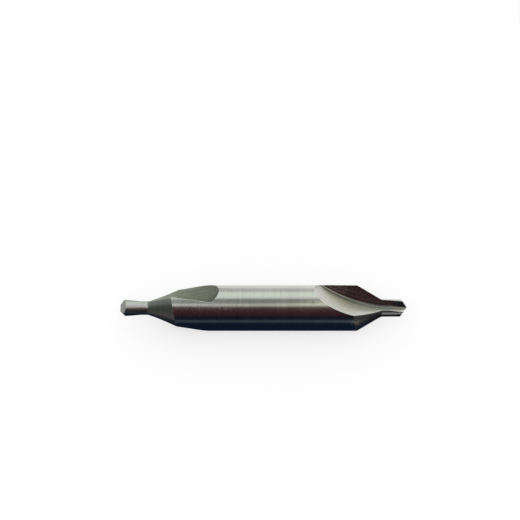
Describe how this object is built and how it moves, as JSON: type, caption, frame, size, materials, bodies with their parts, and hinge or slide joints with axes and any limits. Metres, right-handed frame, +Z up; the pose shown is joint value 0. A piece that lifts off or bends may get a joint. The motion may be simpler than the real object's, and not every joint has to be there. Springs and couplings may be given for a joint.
{
  "type": "centre drill",
  "caption": "Double-ended steel centre drill: plain round shank, and at each end a helically fluted pilot drill running into a conical countersink.",
  "frame": {"origin": "middle of the drill's length, on its axis", "axes": "+X along the axis, towards the right end in the picture; +Z up; the picture is taken from the -Y side, from above"},
  "size_m": [0.05, 0.008, 0.008],
  "materials": {
    "ground_steel": "ground bright high-speed steel: polished shank, satin countersinks, flutes with lengthwise grinding lines"
  },
  "bodies": {
    "root": {"centre_drill": "ground_steel"}
  },
  "joints": []
}
